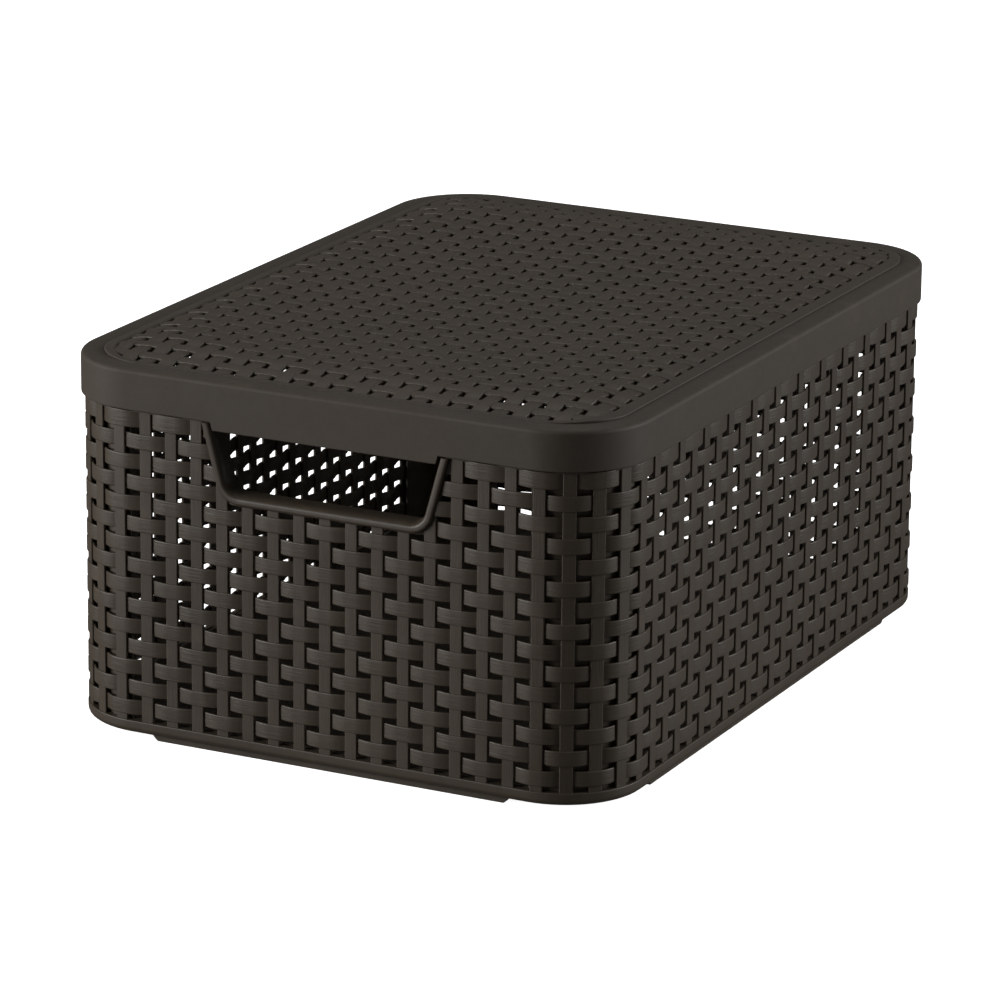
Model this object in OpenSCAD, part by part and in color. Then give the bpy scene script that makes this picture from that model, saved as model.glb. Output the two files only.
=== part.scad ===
// Lidded storage box in rattan-look moulded plastic: an open tub with two
// handle openings and a loose lift-off lid. Millimetres, +Z up. The origin is
// the centre of the footprint on the surface that the box stands on, X runs
// across the box and Y runs along it, with a handle at each end of Y.

/* [Box] */
// Length of the closed box along Y, over the lid
box_l = 393; // [330:1:450]
// Width of the closed box along X, over the lid
box_w = 290; // [250:1:340]
// Height of the closed box up to the flat border of the lid
box_h = 181; // [150:1:230]
// Corner radius of the lid, seen from above
corner_r = 41.5; // [32:0.5:50]

/* [Tub] */
// Depth of the woven wall, over both layers of strands
wall_t = 4; // [3:0.25:5]
// Height of the plain band under the weave
band_h = 6.3; // [5:0.1:9]
// Radius of the rounded lower edge of the tub
band_r = 3; // [1:0.25:4]
// Thickness of the floor
floor_t = 2.4; // [2:0.1:3]
// Height of the feet below the tub
foot_h = 3.2; // [2:0.1:5]
// Thickness of the feet
foot_t = 5; // [3:0.5:8]
// Length of the feet under the two ends
foot_end_l = 188; // [120:1:200]
// Length of the feet under the two long sides
foot_side_l = 280; // [180:1:300]

/* [Weave] */
// Spacing of the upright stakes
stake_pitch = 13.48; // [12:0.02:15]
// Spacing of the weave's rows
row_pitch = 10.03; // [9:0.01:11]
// Width of the gap between two stakes
gap_w = 7.2; // [5:0.1:8]
// Height of the gap between two rows
gap_h = 2.7; // [1.5:0.1:4]

/* [Lid] */
// How far the lid stands out past the tub on each side
lid_overhang = 2.2; // [2:0.1:4]
// Height of the lid's smooth skirt
skirt_h = 19.6; // [14:0.2:26]
// Thickness of the skirt
skirt_t = 2; // [1.6:0.1:3]
// Radius of the rounded upper edge of the lid
lid_edge_r = 3.5; // [2:0.5:5]
// Thickness of the lid's flat border
border_t = 2.6; // [2.2:0.1:4]
// Width of the flat border around the woven panel
border_w = 11; // [8:0.5:16]
// Thickness of the woven panel
panel_t = 2.4; // [2:0.1:3]
// Rise of the panel's edge above the border
panel_rise = 0.4; // [0.2:0.1:1.5]
// Rise of the panel's rounded crest above the border
crest_rise = 3; // [2:0.1:5]
// Depth of the shallow dish in the panel, from its crest to its middle
dish_depth = 3.8; // [0:0.1:6]

/* [Handles] */
// Width of each handle opening along its lower edge
handle_w = 99.6; // [70:0.2:110]
// Height of each handle opening, from its lower edge to the tub's rim
handle_h = 32.3; // [24:0.1:36]
// Lean of the opening's sides from upright, in degrees
handle_lean = 15.4; // [5:0.1:30]
// Radius of the opening's lower corners
handle_r = 7.5; // [6:0.5:14]
// Width of the raised lip around the opening
lip_w = 4.8; // [4:0.1:8]
// Depth of the lip from its face into the tub
lip_depth = 12; // [8:0.5:16]

/* [Hidden] */
$fn = 96;
running_gap = 0.3;
weave_recess = 0.8;
sleeve_t = 2.5;
tongue_h = 4;
foot_inset = 3;
seam = 0.8;
pocket_back = 1;

tub_w = box_w - 2 * lid_overhang;
tub_l = box_l - 2 * lid_overhang;
tub_r = corner_r - lid_overhang;
skirt_z = box_h - skirt_h;
weave_z = foot_h + band_h;
rim_z = skirt_z - 1.2;
rim_top = box_h - border_t - running_gap;
rim_t = wall_t - weave_recess;
floor_z = weave_z - floor_t;

end_half = tub_w / 2 - tub_r;
side_half = tub_l / 2 - tub_r;
rows = floor((rim_z - weave_z) / row_pitch);
row_z = weave_z + gap_h / 2;

handle_z = rim_z - handle_h;
sleeve_z = handle_z - sleeve_t;
split_z = handle_z - lip_w;
lip_face_y = tub_l / 2 + lid_overhang;
tongue_z = skirt_z - tongue_h;

panel_w = box_w - 2 * border_w;
panel_l = box_l - 2 * border_w;
panel_r = corner_r - border_w;
crest_s = 0.82;
ring_s = [0.2, 0.38, 0.52, 0.63, 0.72, 0.78, 0.82, 0.87, 0.92, 0.96, 1];
panel_rings = len(ring_s);
corner_steps = 7;

// ---- outlines --------------------------------------------------------------

// Rounded rectangle: square sides joined by true quarter circles
module rounded_rect(w, l, r) {
    square([w - 2 * r, l], center = true);
    square([w, l - 2 * r], center = true);
    for (x = [-1, 1])
        for (y = [-1, 1])
            translate([x * (w / 2 - r), y * (l / 2 - r)])
                circle(r = r);
}

// Places its child at the middle of the front (1) or the back (-1)
module at_end(side) {
    rotate([0, 0, side > 0 ? 0 : 180])
        children();
}

// One straight run of a profile. The profile's x is the distance out from
// the wall's outer face (negative is inwards) and its y is the height.
module run(length, out) {
    translate([length / 2, out, 0])
        rotate([90, 0, -90])
            linear_extrude(height = length)
                children();
}

// One quarter turn of a profile around an upright corner of radius r
module quarter(r) {
    rotate_extrude(angle = 90)
        translate([r, 0])
            children();
}

// A profile taken all round a rounded rectangle
module ring(w, l, r) {
    for (a = [0, 180]) {
        rotate([0, 0, a])
            run(w - 2 * r, -l / 2)
                children();
        rotate([0, 0, a + 90])
            run(l - 2 * r, -w / 2)
                children();
        rotate([0, 0, a])
            translate([w / 2 - r, l / 2 - r, 0])
                quarter(r)
                    children();
        rotate([0, 0, a])
            translate([-w / 2 + r, l / 2 - r, 0])
                rotate([0, 0, 90])
                    quarter(r)
                        children();
    }
}

// Extrudes a front view outline inwards from the plane y = -face
module front_extrude(face, depth) {
    translate([0, -face + depth, 0])
        rotate([90, 0, 0])
            linear_extrude(height = depth)
                children();
}

// ---- weave -----------------------------------------------------------------

// An end wall has one stake in its middle and a side wall has a gap there.
// The stakes that turn a corner share the length left between the two.
end_stakes = floor(end_half / stake_pitch);
side_stakes = floor(side_half / stake_pitch + 0.5);
end_last = end_stakes * stake_pitch;
side_last = (side_stakes - 0.5) * stake_pitch;
corner_path = end_half - end_last + tub_r * PI / 2 + side_half - side_last;
corner_gaps = round(corner_path / stake_pitch);
corner_pitch = corner_path / corner_gaps;

// Middles of the gaps on half a wall, from the centre out to the seam
end_gaps = [
    for (i = [1 : end_stakes]) (i - 0.5) * stake_pitch,
    end_last + corner_pitch / 2
];
side_gaps = [
    for (i = [0 : side_stakes - 1]) i * stake_pitch,
    side_last + corner_pitch / 2
];

// Angle of gap i around a corner, counted from the end wall
function gap_angle(i) = (end_last + (i + 0.5) * corner_pitch - end_half) / tub_r * 180 / PI;

// One column of gaps at x, clear of the wall's seam at half
module gap_column(x, half) {
    x0 = max(x - gap_w / 2, seam - half);
    x1 = min(x + gap_w / 2, half - seam);
    for (j = [0 : rows - 1])
        translate([x0, row_z + j * row_pitch - gap_h / 2])
            square([x1 - x0, gap_h]);
}

// The gaps of a whole flat wall, in its front view
module wall_gaps(gaps, half) {
    for (x = gaps) {
        gap_column(x, half);
        if (x > 0)
            gap_column(-x, half);
    }
}

// ---- handle outline --------------------------------------------------------

// Half the width of the opening at height z, grown by d
function handle_x(z, d) =
    handle_w / 2 + (z - handle_z) * tan(handle_lean) + d / cos(handle_lean);

// Centre of the rounded lower corner, shared by every grown outline
handle_cx = handle_w / 2 + handle_r * tan(handle_lean) - handle_r / cos(handle_lean);
handle_cz = handle_z + handle_r;

// Right half of the outline from the bottom centre up to height top
function handle_half(top, d) = [
    for (i = [0 : corner_steps])
        let (a = -90 + i * (90 - handle_lean) / corner_steps)
        [handle_cx + (handle_r + d) * cos(a), handle_cz + (handle_r + d) * sin(a)],
    [handle_x(top, d), top]
];

function mirrored(pts) = [for (i = [len(pts) - 1 : -1 : 0]) [-pts[i][0], pts[i][1]]];

// Handle opening grown by d, from its lower edge up to height top
module handle_shape(top, d) {
    polygon(concat(handle_half(top, d), mirrored(handle_half(top, d))));
}

// ---- tub -------------------------------------------------------------------

module floor_plate() {
    color("#3b3631")
        translate([0, 0, floor_z])
            linear_extrude(height = floor_t)
                rounded_rect(tub_w - 2 * wall_t, tub_l - 2 * wall_t, tub_r - wall_t);
}

// Plain band with a rounded lower edge, seen in section
module band_profile() {
    translate([-band_r, foot_h + band_r])
        intersection() {
            circle(r = band_r);
            translate([0, -band_r])
                square(band_r);
        }
    translate([-wall_t, foot_h + band_r])
        square([wall_t, band_h - band_r]);
    translate([-wall_t, foot_h])
        square([wall_t - band_r, band_r]);
}

module base_band() {
    color("#3f3a34")
        ring(tub_w, tub_l, tub_r)
            band_profile();
}

// Foot strip of length l with sloped ends, under the wall at distance out
module foot(length, out) {
    color("#37322d")
        front_extrude(out - foot_inset, foot_t)
            polygon([
                [-length / 2 + foot_h, 0],
                [length / 2 - foot_h, 0],
                [length / 2, foot_h],
                [-length / 2, foot_h]
            ]);
}

module foot_front() { foot(foot_end_l, tub_l / 2); }
module foot_back() { at_end(-1) foot(foot_end_l, tub_l / 2); }
module foot_left() { rotate([0, 0, -90]) foot(foot_side_l, tub_w / 2); }
module foot_right() { rotate([0, 0, 90]) foot(foot_side_l, tub_w / 2); }

// Woven end wall: its outline comes from the child, less the weave's gaps
module end_wall() {
    color("#423d37")
        front_extrude(tub_l / 2, wall_t)
            difference() {
                children();
                wall_gaps(end_gaps, end_half);
            }
}

// Part of the end wall below the handle opening
module wall_lower() {
    end_wall() {
        translate([-end_half, weave_z])
            square([2 * end_half, split_z - weave_z]);
    }
    color("#423d37")
        front_extrude(tub_l / 2, wall_t)
            translate([-handle_cx, split_z])
                square([2 * handle_cx, sleeve_z - split_z]);
}

// Part of the end wall beside the handle opening, side is -1 or 1
module wall_upper(side) {
    end_wall()
        difference() {
            translate([side > 0 ? 0 : -end_half, split_z])
                square([end_half, rim_z - split_z]);
            handle_shape(rim_z + 1, lip_w);
            translate([-handle_cx, split_z - 1])
                square([2 * handle_cx, sleeve_z - split_z + 1]);
        }
    color("#423d37")
        front_extrude(tub_l / 2, wall_t)
            difference() {
                intersection() {
                    handle_shape(rim_z, lip_w + 1);
                    translate([side > 0 ? handle_cx : -end_half, split_z])
                        square([end_half - handle_cx, rim_z - split_z]);
                }
                handle_shape(rim_z + 1, sleeve_t);
            }
}

module wall_front_lower() { wall_lower(); }
module wall_front_upper_left() { wall_upper(-1); }
module wall_front_upper_right() { wall_upper(1); }
module wall_back_lower() { at_end(-1) wall_lower(); }
module wall_back_upper_left() { at_end(-1) wall_upper(1); }
module wall_back_upper_right() { at_end(-1) wall_upper(-1); }

// Woven long side wall, turned to the side given by the angle
module side_wall(angle) {
    color("#423d37")
        rotate([0, 0, angle])
            front_extrude(tub_w / 2, wall_t)
                difference() {
                    translate([-side_half, weave_z])
                        square([2 * side_half, rim_z - weave_z]);
                    wall_gaps(side_gaps, side_half);
                }
}

module wall_left() { side_wall(-90); }
module wall_right() { side_wall(90); }

// Rounded upright corner of the woven wall at the back right. Its gaps are
// pockets with a thin back, which close the corner.
module corner_wall() {
    color("#423d37")
        translate([end_half, side_half, 0])
            difference() {
                quarter(tub_r)
                    translate([-wall_t, weave_z])
                        square([wall_t, rim_z - weave_z]);
                for (i = [1 : corner_gaps - 2])
                    for (j = [0 : rows - 1])
                        rotate([0, 0, 90 - gap_angle(i)])
                            translate([
                                tub_r - wall_t + pocket_back, -gap_w / 2,
                                row_z + j * row_pitch - gap_h / 2
                            ])
                                cube([wall_t, gap_w, gap_h]);
            }
}

module corner_front_left() { rotate([0, 0, 180]) corner_wall(); }
module corner_front_right() { mirror([0, 1, 0]) corner_wall(); }
module corner_back_left() { mirror([1, 0, 0]) corner_wall(); }
module corner_back_right() { corner_wall(); }

// Plain upper rim that the lid's skirt slides over
module tub_rim() {
    color("#3f3a34")
        ring(tub_w, tub_l, tub_r)
            translate([-wall_t, rim_z])
                square([rim_t, rim_top - rim_z]);
}

// Raised lip with a sleeve that lines the opening
module handle_lip() {
    color("#423d37")
        difference() {
            union() {
                front_extrude(lip_face_y, lid_overhang)
                    handle_shape(skirt_z - running_gap, lip_w);
                front_extrude(tub_l / 2, lip_depth - lid_overhang)
                    handle_shape(rim_z, sleeve_t);
            }
            front_extrude(lip_face_y + 1, lip_depth + 2)
                handle_shape(skirt_z + 1, 0);
        }
}

module handle_lip_front() { handle_lip(); }
module handle_lip_back() { at_end(-1) handle_lip(); }

// ---- lid -------------------------------------------------------------------

// Point on the panel's outline: quarter q, step i of that quarter's corner
function panel_edge(q, i) =
    let (
        a = q * 90 + i * 90 / corner_steps,
        sx = (q == 0 || q == 3) ? 1 : -1,
        sy = q < 2 ? 1 : -1
    )
    [sx * (panel_w / 2 - panel_r) + panel_r * cos(a),
     sy * (panel_l / 2 - panel_r) + panel_r * sin(a)];

panel_outline = [for (q = [0 : 3]) for (i = [0 : corner_steps]) panel_edge(q, i)];
panel_n = len(panel_outline);

// Height of the panel's surface at the fraction s of the way to the edge:
// a dish up to the crest, and a rounded fall from there to the edge
function panel_z(s) = box_h + crest_rise - (s < crest_s
    ? dish_depth * pow(1 - pow(s / crest_s, 2), 1.25)
    : (crest_rise - panel_rise) * pow((s - crest_s) / (1 - crest_s), 1.5));

function panel_ring(k, drop) =
    let (s = ring_s[k - 1])
    [for (p = panel_outline) [p[0] * s, p[1] * s, panel_z(s) - drop]];

function panel_surface(drop) = concat(
    [[0, 0, panel_z(0) - drop]],
    [for (k = [1 : panel_rings]) each panel_ring(k, drop)]
);

// Index of outline point i on ring k of a surface that starts at base
function at(base, k, i) = base + 1 + (k - 1) * panel_n + i % panel_n;

function panel_faces(base, up) = concat(
    [for (i = [0 : panel_n - 1])
        up ? [base, at(base, 1, i + 1), at(base, 1, i)]
           : [base, at(base, 1, i), at(base, 1, i + 1)]],
    [for (k = [1 : panel_rings - 1]) for (i = [0 : panel_n - 1])
        up ? [at(base, k, i), at(base, k, i + 1), at(base, k + 1, i + 1), at(base, k + 1, i)]
           : [at(base, k, i), at(base, k + 1, i), at(base, k + 1, i + 1), at(base, k, i + 1)]]
);

// Woven panel as a plate of even thickness with a raised crest around a dish
module lid_panel() {
    lower = 1 + panel_rings * panel_n;
    rim = [for (i = [0 : panel_n - 1])
        [at(0, panel_rings, i), at(0, panel_rings, i + 1),
         at(lower, panel_rings, i + 1), at(lower, panel_rings, i)]];
    color("#3a352f")
        polyhedron(
            points = concat(panel_surface(0), panel_surface(panel_t)),
            faces = concat(panel_faces(0, true), panel_faces(lower, false), rim),
            convexity = 4
        );
}

// Flat frame around the woven panel
module lid_border() {
    color("#3f3a34")
        translate([0, 0, box_h - border_t])
            linear_extrude(height = border_t)
                difference() {
                    rounded_rect(
                        box_w - 2 * lid_edge_r, box_l - 2 * lid_edge_r, corner_r - lid_edge_r
                    );
                    polygon(panel_outline);
                }
}

// Skirt with its rounded upper edge, seen in section
module skirt_profile() {
    translate([-skirt_t, skirt_z])
        square([skirt_t, skirt_h - lid_edge_r]);
    difference() {
        translate([-lid_edge_r, box_h - lid_edge_r])
            intersection() {
                circle(r = lid_edge_r);
                square(lid_edge_r);
            }
        translate([-lid_edge_r - 1, box_h - lid_edge_r - 1])
            square([lid_edge_r + 1 - skirt_t, lid_edge_r + 1 - border_t]);
    }
}

module lid_skirt() {
    color("#423d37")
        ring(box_w, box_l, corner_r)
            skirt_profile();
}

// Short drop of the skirt that closes the top of a handle opening
module lid_tongue() {
    gap = running_gap / cos(handle_lean);
    low = handle_x(tongue_z, 0) - gap;
    high = handle_x(skirt_z, 0) - gap;
    color("#423d37")
        front_extrude(box_l / 2, skirt_t)
            polygon([[-low, tongue_z], [low, tongue_z], [high, skirt_z], [-high, skirt_z]]);
}

module lid_tongue_front() { lid_tongue(); }
module lid_tongue_back() { at_end(-1) lid_tongue(); }

// ---- nodes -----------------------------------------------------------------

floor_plate();
base_band();
foot_front();
foot_back();
foot_left();
foot_right();
wall_front_lower();
wall_front_upper_left();
wall_front_upper_right();
wall_back_lower();
wall_back_upper_left();
wall_back_upper_right();
wall_left();
wall_right();
corner_front_left();
corner_front_right();
corner_back_left();
corner_back_right();
tub_rim();
handle_lip_front();
handle_lip_back();
lid_panel();
lid_border();
lid_skirt();
lid_tongue_front();
lid_tongue_back();
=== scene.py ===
import bpy
import math
import numpy as np
from mathutils import Matrix, Vector


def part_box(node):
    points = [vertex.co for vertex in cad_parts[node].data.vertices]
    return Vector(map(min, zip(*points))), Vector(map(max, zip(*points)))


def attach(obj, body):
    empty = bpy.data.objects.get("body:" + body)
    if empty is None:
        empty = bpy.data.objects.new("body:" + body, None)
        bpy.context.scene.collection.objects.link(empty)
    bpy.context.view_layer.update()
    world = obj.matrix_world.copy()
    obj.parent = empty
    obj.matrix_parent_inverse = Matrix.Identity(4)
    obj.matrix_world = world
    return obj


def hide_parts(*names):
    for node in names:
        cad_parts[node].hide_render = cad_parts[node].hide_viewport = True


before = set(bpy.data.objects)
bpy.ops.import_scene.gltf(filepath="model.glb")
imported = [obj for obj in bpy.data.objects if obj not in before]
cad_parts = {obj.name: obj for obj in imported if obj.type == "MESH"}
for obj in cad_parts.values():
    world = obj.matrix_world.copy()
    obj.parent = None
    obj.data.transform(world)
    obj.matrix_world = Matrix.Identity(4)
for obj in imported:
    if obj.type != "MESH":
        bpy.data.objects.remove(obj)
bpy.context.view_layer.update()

# The object is drawn in millimetres and brought to metres in Shell.build. The stage is in metres.


def mm(node):
    """The low and high corners of a node's box."""
    low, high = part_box(node)
    return np.array(low) * 1000, np.array(high) * 1000


TUB = mm("base_band")[1][:2]            # half width and half length of the tub
TUB_R = mm("corner_back_right")[1][0] - mm("corner_back_right")[0][0]
LID = mm("lid_skirt")[1][:2]
LID_R = 41.5                            # corner radius of the lid's outline
BAND = mm("base_band")[0][2], mm("base_band")[1][2]
RIM = mm("tub_rim")[0][2], mm("tub_rim")[1][2]
SKIRT = mm("lid_skirt")[0][2], mm("lid_skirt")[1][2]
TONGUE_Z = mm("lid_tongue_front")[0][2]
PANEL = mm("lid_panel")[1]              # half width and half length of the woven field
LIP_FACE = -mm("handle_lip_front")[0][1]
LIP_TOP = mm("handle_lip_front")[1][2]

STAKE_PITCH, ROW_PITCH = 13.48, 10.03
ROWS = 15
END_STAKES, SIDE_STAKES, CORNER_STAKES = 15, 22, 5
PROUD = 0.6                             # how far the crests of the weave stand out past the plain wall
STAKE_W, STAKE_IN, STAKE_T = 6.25, 0.75, 1.5    # width, depth of the outer face, thickness
WEAVER_H, WEAVER_T, DIVE = 7.35, 1.2, 1.85      # height, thickness, depth under a stake
ROW0 = BAND[1] + 6.365                  # height of the lowest weaver's middle
STRAND_R, STRAND_BACK_R = 0.5, 0.3      # rounding of a strand's outer and inner edges


class Shell:
    """Closed shells that end up in one mesh."""

    def __init__(self):
        self.verts, self.faces, self.slots, self.smooth, self.count = [], [], [], [], 0

    def tube(self, rings, slot=0, loop=False):
        """A closed sweep through rings of equal length, turned so that its faces look outwards."""
        rings = np.asarray(rings, float)
        m, k, _ = rings.shape
        centre = rings.reshape(-1, 3).mean(0)
        a = rings - centre
        nxt = np.roll(a, -1, axis=0) if loop else a[1:]
        cur = a if loop else a[:-1]
        b, c, d = np.roll(cur, -1, axis=1), np.roll(nxt, -1, axis=1), nxt
        volume = np.einsum("ijk,ijk->", cur, np.cross(b, c)) + np.einsum("ijk,ijk->", cur, np.cross(c, d))
        if not loop:
            for ring, way in ((a[0], -1), (a[-1], 1)):
                for i in range(1, k - 1):
                    volume += way * np.dot(ring[0], np.cross(ring[i], ring[i + 1]))
        if volume < 0:
            rings = rings[:, ::-1]
        index = np.arange(m * k).reshape(m, k) + self.count
        nxt = np.roll(index, -1, axis=0) if loop else index[1:]
        cur = index if loop else index[:-1]
        quads = np.stack([cur, np.roll(cur, -1, axis=1), np.roll(nxt, -1, axis=1), nxt], axis=-1)
        faces = quads.reshape(-1, 4).tolist()
        self.smooth += [True] * len(faces)
        if not loop:
            faces += [index[0][::-1].tolist(), index[-1].tolist()]
            self.smooth += [False, False]
        self.verts.append(rings.reshape(-1, 3))
        self.faces += faces
        self.slots += [slot] * len(faces)
        self.count += m * k

    def build(self, name, body, materials, nodes):
        """Makes the piece, which moves with its body and stands in for the nodes."""
        mesh = bpy.data.meshes.new(name)
        mesh.from_pydata((np.concatenate(self.verts) * 0.001).tolist(), [], self.faces)
        mesh.polygons.foreach_set("material_index", self.slots)
        mesh.polygons.foreach_set("use_smooth", self.smooth)
        for m in materials:
            mesh.materials.append(m)
        mesh.update()
        obj = bpy.data.objects.new(name, mesh)
        bpy.context.scene.collection.objects.link(obj)
        even = obj.modifiers.new("even", "WEIGHTED_NORMAL")
        even.keep_sharp = True
        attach(obj, body)
        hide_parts(*nodes)


def bar(w, t, r, q):
    """Section of a flat strand: w across, t deep, its edges rounded by r outside and cut by q inside."""
    turns = [math.radians(f) for f in (0, 45, 90)]
    points = [(-w / 2 + r - r * math.cos(f), r - r * math.sin(f)) for f in turns]
    points += [(w / 2 - r + r * math.sin(f), r - r * math.cos(f)) for f in turns]
    points += [(w / 2, t - q), (w / 2 - q, t), (-w / 2 + q, t), (-w / 2, t - q)]
    return np.array(points)


class Track:
    """A rounded rectangle, walked from the middle of the front towards +X."""

    def __init__(self, hx, hy, r):
        a, b, c = hx - r, hy - r, math.pi * r / 2
        self.r, self.length = r, 4 * a + 4 * b + 4 * c
        self.legs = []
        u = 0
        past_end = 1                    # the last leg runs on, so that rounding leaves no distance without a leg
        for length, start, turn, centre in (
            (a, (0, -hy), 0, None), (c, None, 0, (a, -b)), (2 * b, (hx, -b), 90, None),
            (c, None, 90, (a, b)), (2 * a, (a, hy), 180, None), (c, None, 180, (-a, b)),
            (2 * b, (-hx, b), 270, None), (c, None, 270, (-a, -b)),
            (a + past_end, (-a, -hy), 360, None),
        ):
            self.legs.append((u, length, start, math.radians(turn), centre))
            u += length

    def at(self, u):
        """Points and outward normals at the distances u."""
        u = np.atleast_1d(np.asarray(u, float)) % self.length
        p, n = np.zeros((len(u), 2)), np.zeros((len(u), 2))
        for u0, length, start, turn, centre in self.legs:
            m = (u >= u0 - 1e-9) & (u <= u0 + length)
            if centre is None:
                p[m] = np.array(start) + np.outer(u[m] - u0, (math.cos(turn), math.sin(turn)))
                n[m] = (math.sin(turn), -math.cos(turn))
            else:
                f = turn - math.pi / 2 + (u[m] - u0) / self.r
                n[m] = np.stack([np.cos(f), np.sin(f)], axis=1)
                p[m] = np.array(centre) + self.r * n[m]
        return p, n

    def stations(self, fine, extra=()):
        """Distances for a sweep: the ends of the legs, steps of fine degrees in the corners, and extra."""
        u = [x % self.length for x in extra]
        for u0, length, _, _, centre in self.legs:
            steps = max(1, round(90 / fine)) if centre is not None else 6
            u += list(np.linspace(u0, min(u0 + length, self.length), steps + 1))
        u = np.unique(np.round(np.array(u) % self.length, 3))
        return u[self.length - u > 0.01]

    def ring(self, u, section):
        """The section's points (inset, height) at each distance u."""
        p, n = self.at(u)
        section = np.asarray(section, float)
        xy = p[:, None, :] - n[:, None, :] * section[None, :, :1]
        z = np.broadcast_to(section[None, :, 1], xy.shape[:2])
        return np.concatenate([xy, z[..., None]], axis=-1)


track = Track(TUB[0] + PROUD, TUB[1] + PROUD, TUB_R + PROUD)
lid_track = Track(LID[0], LID[1], LID_R)

# Stakes round the tub: evenly spaced on each wall, and evenly round each corner.
FIRST = -(END_STAKES // 2)              # number of the leftmost stake of the front, whose middle stake is 0
end, side, turn = TUB[0] - TUB_R, TUB[1] - TUB_R, math.pi * track.r / 2
half_end = (END_STAKES - 1) / 2 * STAKE_PITCH
half_side = (SIDE_STAKES - 1) / 2 * STAKE_PITCH
corner_step = (turn + end - half_end + side - half_side) / (CORNER_STAKES + 1)
end_run, side_run = (END_STAKES - 1, STAKE_PITCH), (SIDE_STAKES - 1, STAKE_PITCH)
corner_run = (CORNER_STAKES + 1, corner_step)
places, u = [], -half_end
for count, step in (end_run, corner_run, side_run, corner_run) * 2:
    for _ in range(count):
        places.append(u)
        u += step


def place(k):
    """Distance of stake number k along the track."""
    turns, i = divmod(k - FIRST, len(places))
    return places[i] + turns * track.length


# ---- the handle opening, as seen from the front -----------------------------------

LEAN = math.radians(15.4)
OPEN_Z, OPEN_HALF, OPEN_R = 127.9, 49.8, 7.5    # lower edge, its half width, radius of its corners
LIP_W = 4.8
ARC_X = OPEN_HALF - OPEN_R * (1 - math.sin(LEAN)) / math.cos(LEAN)
ARC_Z = OPEN_Z + OPEN_R


def opening_half(z):
    """Half width of the opening at height z."""
    side = OPEN_HALF + (z - OPEN_Z) * math.tan(LEAN)
    touch = ARC_Z - OPEN_R * math.sin(LEAN)
    if z >= touch:
        return side
    if z <= OPEN_Z:
        return 0.0
    return ARC_X + math.sqrt(max(0.0, OPEN_R ** 2 - (ARC_Z - z) ** 2))


def contour(top):
    """The opening's edge, down the left side and up the right.

    Each entry is a point, its outward normal and a share that is 1 at the top and 0 below the sides.
    """
    half = []
    n = np.array([math.cos(LEAN), -math.sin(LEAN)])
    d = np.array([math.sin(LEAN), math.cos(LEAN)])
    touch = np.array([ARC_X, ARC_Z]) + OPEN_R * n
    for f in np.linspace(1, 0, 6):
        half.append((touch + d * f * (top - touch[1]) / d[1], n, f))
    for f in np.linspace(-LEAN, -math.pi / 2, 10)[1:]:
        m = np.array([math.cos(f), math.sin(f)])
        half.append((np.array([ARC_X, ARC_Z]) + OPEN_R * m, m, 0))
    for x in (24.0, 8.0):
        half.append((np.array([x, OPEN_Z]), np.array([0.0, -1.0]), 0))
    mirror = np.array([-1.0, 1.0])
    return [(p * mirror, n * mirror, f) for p, n, f in half] + half[::-1]


# ---- the woven tub ------------------------------------------------------------------

weaver_section = bar(WEAVER_H, WEAVER_T, STRAND_R, STRAND_BACK_R)
stake_section = bar(STAKE_W, STAKE_T, STRAND_R, STRAND_BACK_R)
EDGE = STAKE_W / 2
EARLY = 0.2                             # a weaver starts to dive this far before the stake's edge
BACK = PROUD + 2.9, PROUD + 3.9         # depths of the thin wall behind a corner's weave


def ramp(f):
    """Share of the dive at the fraction f of the way between two crossings, most of it near the far end."""
    f = np.clip(f, 0, 1)
    return 0.35 * f + 0.65 * f ** 2.3


def weaver_depth(k, offset, pitch, row):
    """Depth of a row's weaver at offset past stake k: 0 where it lies over a stake, DIVE under one."""
    f = (offset - EDGE + EARLY) / (pitch - 2 * EDGE + 2 * EARLY)
    over = (k + row) % 2 == 0
    return DIVE * ramp(f if over else 1 - f)


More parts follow.
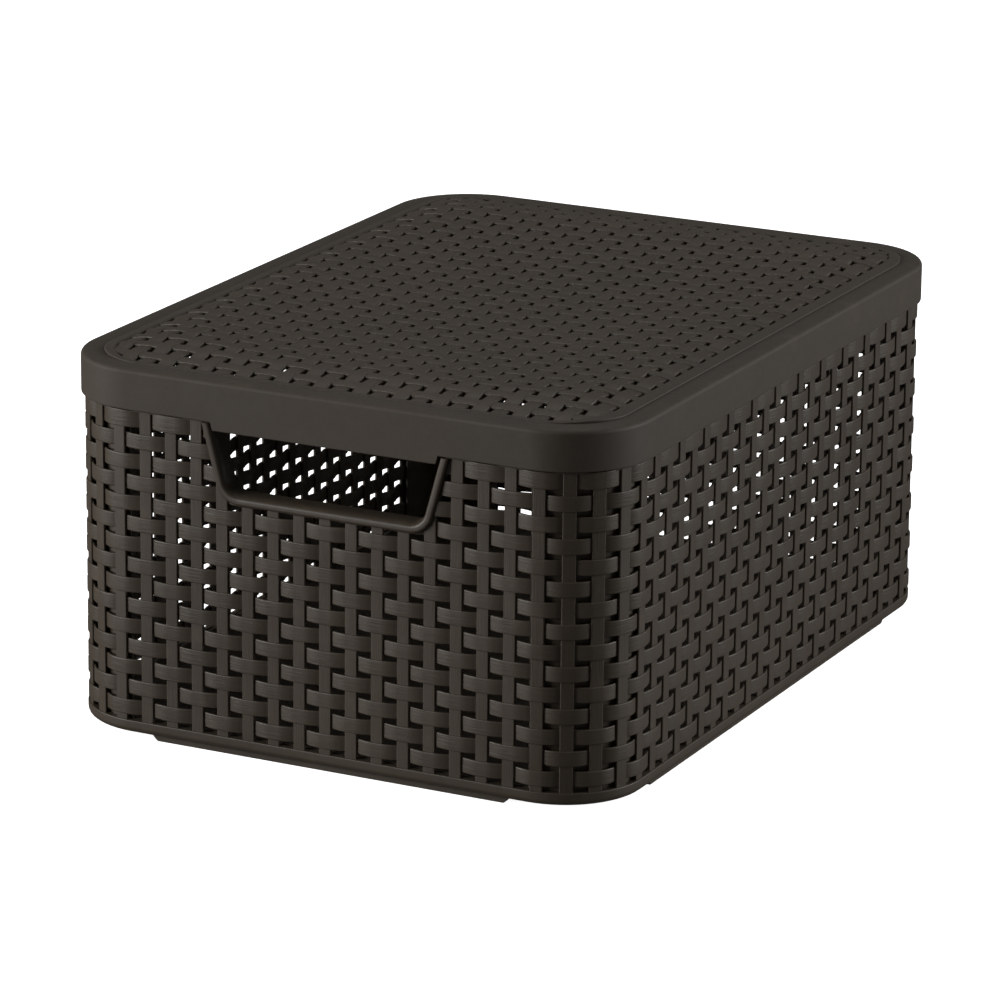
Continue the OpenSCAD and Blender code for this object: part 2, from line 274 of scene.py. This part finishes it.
def weave(name, k0, k1, u0, u1, opening, nodes, closed=False):
    """The weave from distance u0 to u1, with the stakes k0 to k1.

    opening leaves a handle opening in its middle, and closed backs it with a thin wall.
    """
    shell = Shell()
    middle = (place(k0) + place(k1)) / 2
    low_half = 50                       # half width over which the row under the opening is lower
    for row in range(ROWS):
        z = ROW0 + ROW_PITCH * row
        section = weaver_section.copy()
        if row == ROWS - 1:
            to_rim = RIM[0] + 0.6 - z - WEAVER_H / 2
            section[:, 0] += np.where(section[:, 0] > 0, to_rim, 0)
        samples = []
        for k in range(k0 - 1, k1 + 1):
            start, pitch = place(k), place(k + 1) - place(k)
            for f in (0, EDGE - 0.9, EDGE + 0.2, EDGE + 1.5, pitch / 2 - 1.4, pitch / 2,
                      pitch / 2 + 1.4, pitch - EDGE - 1.5, pitch - EDGE - 0.2, pitch - EDGE + 0.9):
                samples.append((start + f, weaver_depth(k, f, pitch, row)))
        samples = np.array(samples)
        spans = [(u0, u1, section)]
        if opening and z > OPEN_Z:
            cut = opening_half(z) + 3.0
            spans = [(u0, middle - cut, section), (middle + cut, u1, section)]
        elif opening and z + WEAVER_H / 2 > OPEN_Z:
            low_section = section.copy()
            low_top = OPEN_Z - 2.5 - z + 0.1 * section[:, 0] / WEAVER_H
            low_section[:, 0] = np.minimum(section[:, 0], low_top)
            a, b = middle - low_half, middle + low_half
            spans = [(u0, a, section), (a, b, low_section), (b, u1, section)]
        for a, b, section in spans:
            inside = (samples[:, 0] > a + 0.2) & (samples[:, 0] < b - 0.2)
            us = np.concatenate([[a], samples[inside, 0], [b]])
            depth = np.interp(us, samples[:, 0], samples[:, 1])
            p, n = track.at(us)
            d = depth[:, None] + section[None, :, 1]
            xy = p[:, None, :] - n[:, None, :] * d[..., None]
            h = np.broadcast_to(z + section[None, :, 0], d.shape)
            shell.tube(np.concatenate([xy, h[..., None]], axis=-1), 1)
    for k in range(k0, k1 + 1):
        p, n = track.at(place(k))
        p, n = p[0], n[0]
        along = np.array([-n[1], n[0]])
        top = np.full(len(stake_section), RIM[0] + 0.4)
        if opening:
            x = place(k) - middle
            if abs(x) + EDGE < OPEN_HALF:
                top[:] = OPEN_Z - 2.8
            elif abs(x) - EDGE < OPEN_HALF + 2:
                top = OPEN_Z + 3.1 + 0.9 * (np.abs(x + stake_section[:, 0]) - abs(x) + EDGE)
        xy = p + along * stake_section[:, :1] - n * (STAKE_IN + stake_section[:, 1:])
        low = BAND[1] - 0.4
        shell.tube([np.column_stack([xy, low + (top - low) * f]) for f in np.linspace(0, 1, 9)], 0)
    if closed:
        low, high = BAND[1] - 0.3, RIM[0] + 0.3
        back = [(BACK[0], low), (BACK[0], high), (BACK[1], high), (BACK[1], low)]
        shell.tube(track.ring(np.linspace(u0, u1, 17), back), 2)
    shell.build(name, "tub", [tub_stake, tub_weaver, tub_smooth], nodes)


# ---- materials ------------------------------------------------------------------------

BASE = (0.038, 0.0278, 0.0179)          # dark brown


def plastic(name, streak=None, tone=1.0, rough=0.47):
    """Satin moulded plastic with fine grain.

    streak scales the coordinates so that the grain runs along a strand.
    """
    m = bpy.data.materials.new(name)
    m.use_nodes = True
    nodes, links = m.node_tree.nodes, m.node_tree.links
    shader = nodes["Principled BSDF"]
    where = nodes.new("ShaderNodeTexCoord")

    def noise(scale, detail, squeeze=None, roughness=0.55):
        n = nodes.new("ShaderNodeTexNoise")
        n.inputs["Scale"].default_value = scale
        n.inputs["Detail"].default_value = detail
        n.inputs["Roughness"].default_value = roughness
        if squeeze:
            mapping = nodes.new("ShaderNodeMapping")
            mapping.inputs["Scale"].default_value = squeeze
            links.new(where.outputs["Object"], mapping.inputs["Vector"])
            links.new(mapping.outputs["Vector"], n.inputs["Vector"])
        else:
            links.new(where.outputs["Object"], n.inputs["Vector"])
        return n.outputs["Fac"]

    def spread(source, low, high, a=0.3, b=0.7):
        r = nodes.new("ShaderNodeMapRange")
        r.inputs["From Min"].default_value = a
        r.inputs["From Max"].default_value = b
        r.inputs["To Min"].default_value = low
        r.inputs["To Max"].default_value = high
        links.new(source, r.inputs["Value"])
        return r.outputs["Result"]

    def math_node(op, x, y):
        n = nodes.new("ShaderNodeMath")
        n.operation = op
        for i, v in enumerate((x, y)):
            if isinstance(v, (int, float)):
                n.inputs[i].default_value = v
            else:
                links.new(v, n.inputs[i])
        return n.outputs[0]

    broad = noise(9.0, 3.0)
    fine = noise(900.0, 2.0)
    scuff = noise(60.0, 5.0, None, 0.62)
    lines = noise(1.0, 3.0, streak, 0.6) if streak else noise(260.0, 3.0)

    ramp_node = nodes.new("ShaderNodeValToRGB")
    dark = tuple(c * tone * 0.80 for c in BASE)
    light = (BASE[0] * tone * 1.22, BASE[1] * tone * 1.20, BASE[2] * tone * 1.13)
    ramp_node.color_ramp.elements[0].color = (*dark, 1)
    ramp_node.color_ramp.elements[1].color = (*light, 1)
    ramp_node.color_ramp.elements[0].position = 0.25
    ramp_node.color_ramp.elements[1].position = 0.75
    mixed = math_node("ADD", math_node("MULTIPLY", broad, 0.55), math_node("MULTIPLY", lines, 0.45))
    links.new(mixed, ramp_node.inputs["Fac"])
    worn = nodes.new("ShaderNodeMix")
    worn.data_type = "RGBA"
    worn.inputs["B"].default_value = (BASE[0] * 1.9, BASE[1] * 1.9, BASE[2] * 1.9, 1)
    links.new(spread(scuff, 0.0, 0.30, 0.56, 0.74), worn.inputs["Factor"])
    links.new(ramp_node.outputs["Color"], worn.inputs["A"])
    links.new(worn.outputs["Result"], shader.inputs["Base Color"])

    gloss = math_node("ADD", spread(broad, -0.03, 0.03), spread(scuff, -0.03, 0.05))
    links.new(math_node("ADD", gloss, rough), shader.inputs["Roughness"])
    shader.inputs["IOR"].default_value = 1.47

    grain = nodes.new("ShaderNodeBump")
    grain.inputs["Strength"].default_value = 0.35
    grain.inputs["Distance"].default_value = 0.00006
    links.new(fine, grain.inputs["Height"])
    ribs = nodes.new("ShaderNodeBump")
    ribs.inputs["Strength"].default_value = 0.55 if streak else 0.25
    ribs.inputs["Distance"].default_value = 0.00022 if streak else 0.0001
    links.new(lines, ribs.inputs["Height"])
    links.new(grain.outputs["Normal"], ribs.inputs["Normal"])
    links.new(ribs.outputs["Normal"], shader.inputs["Normal"])
    return m


tub_stake = plastic("tub_stake", (1500, 1500, 60))
tub_weaver = plastic("tub_weaver", (70, 70, 1500))
tub_smooth = plastic("tub_smooth")
lid_along_x = plastic("lid_along_x", (60, 1300, 300))
lid_along_y = plastic("lid_along_y", (1300, 60, 300))
# The lid's plain plastic is the tub's plastic painted at 0.82 of its tone. This is painted shade: it stands in
# for less light falling on the lid's frame and field edge.
lid_shaded_smooth = plastic("lid_shaded_smooth", None, 0.82, 0.68)

# ---- tub pieces --------------------------------------------------------------------------

WALLS = (
    ("front", END_STAKES, 2 * end), ("corner_front_right", CORNER_STAKES, turn),
    ("right", SIDE_STAKES, 2 * side), ("corner_back_right", CORNER_STAKES, turn),
    ("back", END_STAKES, 2 * end), ("corner_back_left", CORNER_STAKES, turn),
    ("left", SIDE_STAKES, 2 * side), ("corner_front_left", CORNER_STAKES, turn),
)
k, u = FIRST, -end
for wall, count, length in WALLS:
    has_opening = wall in ("front", "back")
    is_corner = wall.startswith("corner")
    nodes = [wall if is_corner else "wall_" + wall]
    if has_opening:
        nodes = ["wall_" + wall + part for part in ("_lower", "_upper_left", "_upper_right")]
    weave("weave_" + wall, k, k + count - 1, u, u + length, has_opening, nodes, is_corner)
    k += count
    u += length


def arc(cx, cz, r, start, stop, steps):
    """Section points on an arc, angles in degrees, measured from the inset axis towards up."""
    return [(cx + r * math.cos(math.radians(f)), cz + r * math.sin(math.radians(f)))
            for f in np.linspace(start, stop, steps)]


band = Shell()
low, high = BAND
section = arc(0.5, high - 0.5, 0.5, 180, 90, 4)
section += [(3.6, high), (4.0, high - 0.4), (4.0, low + 0.4), (3.6, low)]
section += arc(3.0, low + 3.0, 3.0, 270, 180, 7)
band.tube(track.ring(track.stations(6), section), 0, True)
band.build("tub_band", "tub", [tub_smooth], ["base_band"])

rim = Shell()
low, high = RIM
section = [(0.8, low), (0.8, high - 1.4)] + arc(2.2, high - 1.4, 1.4, 180, 90, 5)[1:]
section += arc(3.0, high - 1.0, 1.0, 90, 0, 4) + [(4.0, low + 0.6), (3.6, low), (2.2, low)]
rim.tube(track.ring(track.stations(6), section), 0, True)
rim.build("tub_rim_edge", "tub", [tub_smooth], ["tub_rim"])

floor = Shell()
low, high = mm("floor_plate")[0][2], mm("floor_plate")[1][2]
inner = Track(TUB[0] - 4, TUB[1] - 4, TUB_R - 4)
stations = inner.stations(7.5)
rings = []
p, n = inner.at(stations)
for inset, drop in ((0, high - low), (0, 0), (3, 0.1), (4.2, 0.9), (16, 0.9), (17.4, 0.2)):
    z = high - drop
    rings.append(np.column_stack([p - n * inset, np.full(len(p), z)]))
floor.tube(rings)
floor.build("tub_floor", "tub", [tub_smooth], ["floor_plate"])


def foot(name, node, length, out, angle):
    """A foot strip with sloped ends.

    out is the wall's distance, and angle turns the front's strip to its own wall.
    """
    shell = Shell()
    h = mm(node)[1][2]
    half = length / 2
    knee = 0.9                          # height of the bend in the sloped end
    c, s = math.cos(angle), math.sin(angle)
    rings = []
    for y, bevel in ((3.0, 0.4), (3.4, 0.0), (7.6, 0.0), (8.0, 0.4)):
        slope = [(half - h, bevel), (half - h + knee, knee + bevel / 2), (half - bevel, h)]
        outline = [(-x, z) for x, z in slope[:1]] + slope + [(-x, z) for x, z in slope[:0:-1]]
        ring = []
        for x, z in outline:
            q = -(out - y)
            ring.append((x * c - q * s, x * s + q * c, z))
        rings.append(ring)
    shell.tube(rings)
    shell.build(name, "tub", [tub_smooth], [node])


foot_end = mm("foot_front")[1][0] * 2
foot_side = mm("foot_right")[1][1] * 2
foot("tub_foot_front", "foot_front", foot_end, TUB[1], 0)
foot("tub_foot_back", "foot_back", foot_end, TUB[1], math.pi)
foot("tub_foot_left", "foot_left", foot_side, TUB[0], -math.pi / 2)
foot("tub_foot_right", "foot_right", foot_side, TUB[0], math.pi / 2)


def lip(name, node, way):
    """Rolled lip of a handle opening: a bead that turns inwards and lines the opening.

    way is 1 for the front and -1 for the back. The section's points are (outwards from the edge, depth).
    """
    shell = Shell()
    section = [(0.0, 11.2), (0.0, 7.4)]
    section += [(2.3 - 2.3 * math.cos(f), 5.2 - 4.9 * math.sin(f)) for f in np.linspace(0, math.pi / 2, 9)]
    section += [(3.4 + 1.4 * math.sin(f), 1.5 - 1.25 * math.cos(f)) for f in np.linspace(0, math.pi / 2, 7)]
    section += [(LIP_W, 3.4), (2.5, 4.2), (2.5, 11.2), (2.0, 11.9), (0.6, 11.9)]
    rings = []
    for p, n, f in contour(LIP_TOP - 0.5):
        ring = []
        for o, w in section:
            x, z = p + n * o
            if f > 0:
                x += math.copysign(math.tan(LEAN), x) * f * (p[1] - z)
                z += f * (p[1] - z)
            ring.append((x * way, -(LIP_FACE - w) * way, z))
        rings.append(ring)
    shell.tube(rings)
    shell.build(name, "tub", [tub_smooth], [node])


lip("tub_lip_front", "handle_lip_front", 1)
lip("tub_lip_back", "handle_lip_back", -1)

# ---- lid pieces -----------------------------------------------------------------------------

low, high = SKIRT
border = LID[0] - PANEL[0]
EDGE_R = 2.2
TONGUE_GAP = 0.4
tongue_low = opening_half(TONGUE_Z) - TONGUE_GAP
tongue_high = opening_half(low) - TONGUE_GAP
middles = (0.0, lid_track.length / 2)
extra = [m + s * t for m in middles for s in (-1, 1) for t in (tongue_low, tongue_high, tongue_low - 2)]
stations = lid_track.stations(4.5, extra)


def skirt_section(bottom):
    """Skirt, rounded top edge and border in one section, down to the height bottom."""
    section = [(1.5, bottom)] + arc(0.6, bottom + 0.6, 0.6, 270, 180, 4)
    section += [(0.0, high - 8.0)] + arc(EDGE_R, high - EDGE_R, EDGE_R, 180, 90, 9)
    section += [(border + 1.0, high), (border + 1.0, high - 2.6), (4.0, high - 2.6)]
    return section + arc(4.0, high - 4.6, 2.0, 90, 180, 4) + [(2.0, bottom + 0.5)]


rings = []
half_way = lid_track.length / 2
for u in stations:
    across = min(abs((u - m + half_way) % lid_track.length - half_way) for m in middles)
    drop = np.clip((tongue_high - across) / (tongue_high - tongue_low), 0, 1)
    rings.append(lid_track.ring([u], skirt_section(low + (TONGUE_Z - low) * drop))[0])
skirt = Shell()
skirt.tube(rings, 0, True)
skirt.build("lid_frame", "lid", [lid_shaded_smooth],
            ["lid_skirt", "lid_border", "lid_tongue_front", "lid_tongue_back"])

LID_ROW, LID_COLUMN = 13.31, 10.16      # pitches of the strands along X and along Y
LID_ROWS, LID_COLUMNS = 13, 12          # strands on each side of the middle one
X_STRAND, Y_STRAND, LID_STRAND_T = 6.2, 7.3, 2.5
LID_DIVE = 0.95
FIELD_EDGE = (                          # plain edge of the field: share of its width, height
    (0, -2.3), (0, -0.1), (0.12, -0.02), (0.35, 0), (0.6, 0),
    (0.85, 0), (1.0, -0.12), (1.1, -0.6), (1.1, -2.0), (1.0, -2.3),
)
panel_track = Track(PANEL[0], PANEL[1], LID_R - border)


def field_z(x, y):
    """Height of the woven field: a dish, 1 mm below the border at its middle, with slopes round it."""
    x, y = np.abs(x), np.abs(y)
    mix = 1.35                          # how the rise along X and the rise along Y add up
    rise_x = 3.4 * (x / 107) ** 2.2
    rise_y = 4.5 * (y / 150) ** 2.3
    dish = (rise_x ** mix + rise_y ** mix) ** (1 / mix) - 1
    side_slope = 0.5 + 0.17 * (PANEL[0] - x)
    end_slope = 0.2 + 0.13 * (PANEL[1] - y)
    tight = 1.2                         # the soft minimum of the three, closer to the true one when larger
    total = sum(np.exp(-tight * h) for h in (dish, side_slope, end_slope))
    return SKIRT[1] - np.log(total) / tight


def edge_width(n):
    """Width of the plain edge of the field where the outline faces n."""
    return 2.5 + 3.4 * n[:, 0] ** 2


def reach(across, half_a, half_b, margin):
    """How far a strand at distance across may run before the field's rounded outline, less a margin."""
    a, b, r = half_a - margin, half_b - margin, LID_R - border - margin
    over = abs(across) - (a - r)
    if over <= 0:
        return b
    if over >= r:
        return 0
    return b - r + math.sqrt(r * r - over * over)


panel = Shell()
x_section = bar(X_STRAND, LID_STRAND_T, 0.85, STRAND_BACK_R)
y_section = bar(Y_STRAND, LID_STRAND_T, 1.0, STRAND_BACK_R)
crossings = np.arange(-LID_COLUMNS - 1, LID_COLUMNS + 1.5, 0.5) * LID_COLUMN
for j in range(-LID_ROWS, LID_ROWS + 1):
    y = j * LID_ROW
    far = reach(abs(y) + X_STRAND / 2, PANEL[1], PANEL[0], 1.8)
    xs = np.unique(np.clip(np.concatenate([[-far, far], crossings]), -far, far))
    rings = []
    for x in xs:
        wave = math.cos(math.pi * (x / LID_COLUMN + j))
        top = field_z(x, y + x_section[:, 0]) - 0.35 - 0.18 * wave
        rings.append(np.column_stack([np.full(len(top), x), y + x_section[:, 0], top - x_section[:, 1]]))
    panel.tube(rings, 0)
for k in range(-LID_COLUMNS, LID_COLUMNS + 1):
    x = k * LID_COLUMN
    far = reach(abs(x) + Y_STRAND / 2, PANEL[0], PANEL[1], 1.6)
    samples = []
    for j in range(-LID_ROWS - 2, LID_ROWS + 2):
        for f in (0, 2.2, 3.4, 5.0, 6.65, 8.3, 9.9, 11.1):
            part = (f - 2.9) / (LID_ROW - 5.8)
            over = (j + k) % 2 == 0
            samples.append((j * LID_ROW + f, LID_DIVE * ramp(part if over else 1 - part)))
    samples = np.array(samples)
    inside = np.abs(samples[:, 0]) < far - 0.3
    ys = np.concatenate([[-far], samples[inside, 0], [far]])
    depth = np.interp(ys, samples[:, 0], samples[:, 1])
    rings = []
    for y, d in zip(ys, depth):
        top = field_z(x + y_section[:, 0], y) - d
        rings.append(np.column_stack([x + y_section[:, 0], np.full(len(top), y), top - y_section[:, 1]]))
    panel.tube(rings, 1)
rings = []
for u in panel_track.stations(5, [q * LID_ROW for q in range(-6, 7)]):
    p, n = panel_track.at(u)
    p, n, width = p[0], n[0], edge_width(n)[0]
    ring = []
    for f, dz in FIELD_EDGE:
        q = p - n * width * f
        ring.append((q[0], q[1], float(field_z(q[0], q[1])) + dz + 0.02))
    rings.append(ring)
panel.tube(rings, 2, True)
panel.build("lid_field", "lid", [lid_along_x, lid_along_y, lid_shaded_smooth], ["lid_panel"])

# ---- stage, light and camera -------------------------------------------------------------------

ground = bpy.data.meshes.new("ground")
ground.from_pydata([(-9, -9, 0), (9, -9, 0), (9, 9, 0), (-9, 9, 0)], [], [(0, 1, 2, 3)])
ground_obj = bpy.data.objects.new("ground", ground)
bpy.context.scene.collection.objects.link(ground_obj)
pale = bpy.data.materials.new("pale_floor")
pale.use_nodes = True
pale_inputs = pale.node_tree.nodes["Principled BSDF"].inputs
pale_inputs["Base Color"].default_value = (0.9, 0.9, 0.9, 1)
pale_inputs["Roughness"].default_value = 0.9
pale_inputs["Specular IOR Level"].default_value = 0.0
pale_inputs["Emission Color"].default_value = (1, 1, 1, 1)
pale_inputs["Emission Strength"].default_value = 0.95
ground.materials.append(pale)
ground_obj.visible_diffuse = False
ground_obj.visible_glossy = False


def softbox(name, location, target, size, power):
    """A rectangular area light that faces its target."""
    light = bpy.data.lights.new(name, "AREA")
    light.shape = "RECTANGLE"
    light.size, light.size_y = size
    light.energy = power
    obj = bpy.data.objects.new(name, light)
    bpy.context.scene.collection.objects.link(obj)
    obj.location = location
    obj.rotation_euler = (Vector(target) - Vector(location)).to_track_quat("-Z", "Y").to_euler()


softbox("soft_left", (-2.1, -1.85, 0.75), (0, -0.1, 0.1), (2.1, 1.5), 92)
softbox("soft_right", (2.4, 1.1, 0.75), (0, 0, 0.1), (1.6, 1.5), 58)
softbox("soft_top", (-0.2, 0.9, 3.2), (0, 0.2, 0), (3.5, 3.5), 34)

world = bpy.data.worlds.new("studio")
bpy.context.scene.world = world
world.use_nodes = True
world.node_tree.nodes["Background"].inputs["Color"].default_value = (1, 1, 1, 1)
world.node_tree.nodes["Background"].inputs["Strength"].default_value = 0.10

bpy.context.scene.view_settings.view_transform = "Standard"

CAMERA_DISTANCE = 2.6579
AIM_HEIGHT = 0.09055
AIM_RIGHT, AIM_UP = -0.00669, -0.009076     # offsets of the aim across the view
FOCAL = 5.443                               # focal length in sensor widths
azimuth, elevation, roll = math.radians(26.4304), math.radians(16.6336), math.radians(0.5923)
flat = math.cos(elevation)
back = Vector((math.sin(azimuth) * flat, -math.cos(azimuth) * flat, math.sin(elevation)))
right = Vector((math.cos(azimuth), math.sin(azimuth), 0))
up = back.cross(right)
across = right * math.cos(roll) + up * math.sin(roll)
upward = -right * math.sin(roll) + up * math.cos(roll)
camera_data = bpy.data.cameras.new("camera")
camera_data.sensor_width = 36.0
camera_data.lens = FOCAL * camera_data.sensor_width
camera_data.clip_start = 0.1
camera = bpy.data.objects.new("camera", camera_data)
bpy.context.scene.collection.objects.link(camera)
spot = Vector((0, 0, AIM_HEIGHT)) + across * AIM_RIGHT + upward * AIM_UP + back * CAMERA_DISTANCE
camera.matrix_world = Matrix((
    (across.x, upward.x, back.x, spot.x),
    (across.y, upward.y, back.y, spot.y),
    (across.z, upward.z, back.z, spot.z),
    (0, 0, 0, 1),
))
bpy.context.scene.camera = camera

bpy.context.view_layer.update()
